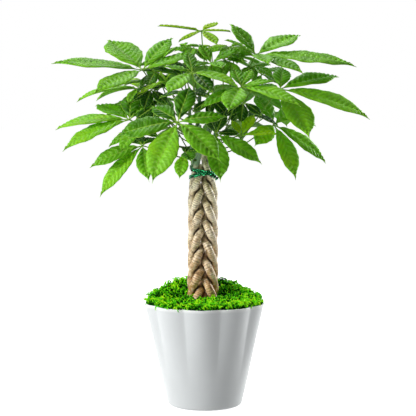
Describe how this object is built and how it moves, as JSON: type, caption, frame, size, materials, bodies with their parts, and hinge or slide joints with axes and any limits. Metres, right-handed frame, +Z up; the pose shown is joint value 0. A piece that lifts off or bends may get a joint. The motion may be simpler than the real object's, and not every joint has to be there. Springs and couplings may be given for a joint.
{
  "type": "potted money tree",
  "caption": "Potted money tree: braided trunk of young stems, palmate leaves on long stalks, moss over the soil, in a flared pot with soft lobes.",
  "frame": {"origin": "centre of the pot's flat underside", "axes": "+Z up along the pot's axis, -Y the front seen in the picture, +X to its right"},
  "size_m": [0.393, 0.2584, 0.482],
  "materials": {
    "pot": "satin white glaze",
    "soil": "dark crumbly potting soil",
    "moss": "bright tufted moss",
    "bark": "tan bark with ring wrinkles, green towards the top",
    "tie": "dark green metallic ribbon on wire",
    "leaf": "glossy green blade with pale veins",
    "young_leaf": "glossy yellow-green blade with pale veins"
  },
  "bodies": {
    "root": {"leaf_back_far_right": "leaf", "leaf_back_left": "leaf", "leaf_back_low_left": "leaf", "leaf_back_low_right": "leaf", "leaf_back_middle": "leaf", "leaf_back_right": "leaf", "leaf_back_top": "leaf", "leaf_front_centre": "leaf", "leaf_front_right": "leaf", "leaf_front_top": "leaf", "leaf_inner_above": "leaf", "leaf_inner_far_left": "leaf", "leaf_inner_front": "leaf", "leaf_inner_left": "leaf", "leaf_inner_left_high": "leaf", "leaf_inner_left_low": "leaf", "leaf_inner_left_mid": "leaf", "leaf_inner_low": "leaf", "leaf_inner_mid": "leaf", "leaf_inner_right": "leaf", "leaf_inner_right_high": "leaf", "leaf_inner_right_mid": "leaf", "leaf_inner_top": "leaf", "leaf_inner_top_left": "leaf", "leaf_left_high": "leaf", "leaf_left_low": "leaf", "leaf_left_mid": "leaf", "leaf_left_thin": "leaf", "leaf_left_under": "leaf", "leaf_low_left": "leaf", "leaf_low_right": "leaf", "leaf_right_high": "leaf", "leaf_right_low": "leaf", "leaf_right_mid": "leaf", "leaf_right_yellow": "young_leaf", "leaf_top_centre": "leaf", "leaf_top_left": "leaf", "leaf_top_right": "leaf", "leaf_top_small": "young_leaf", "leaf_top_young": "young_leaf", "leaf_young_left": "young_leaf", "moss": "moss", "pot": "pot", "soil": "soil", "stem_1": "bark", "stem_2": "bark", "stem_3": "bark", "stem_4": "bark", "stem_5": "bark", "stem_6": "bark", "stem_7": "bark", "tie": "tie"}
  },
  "joints": []
}
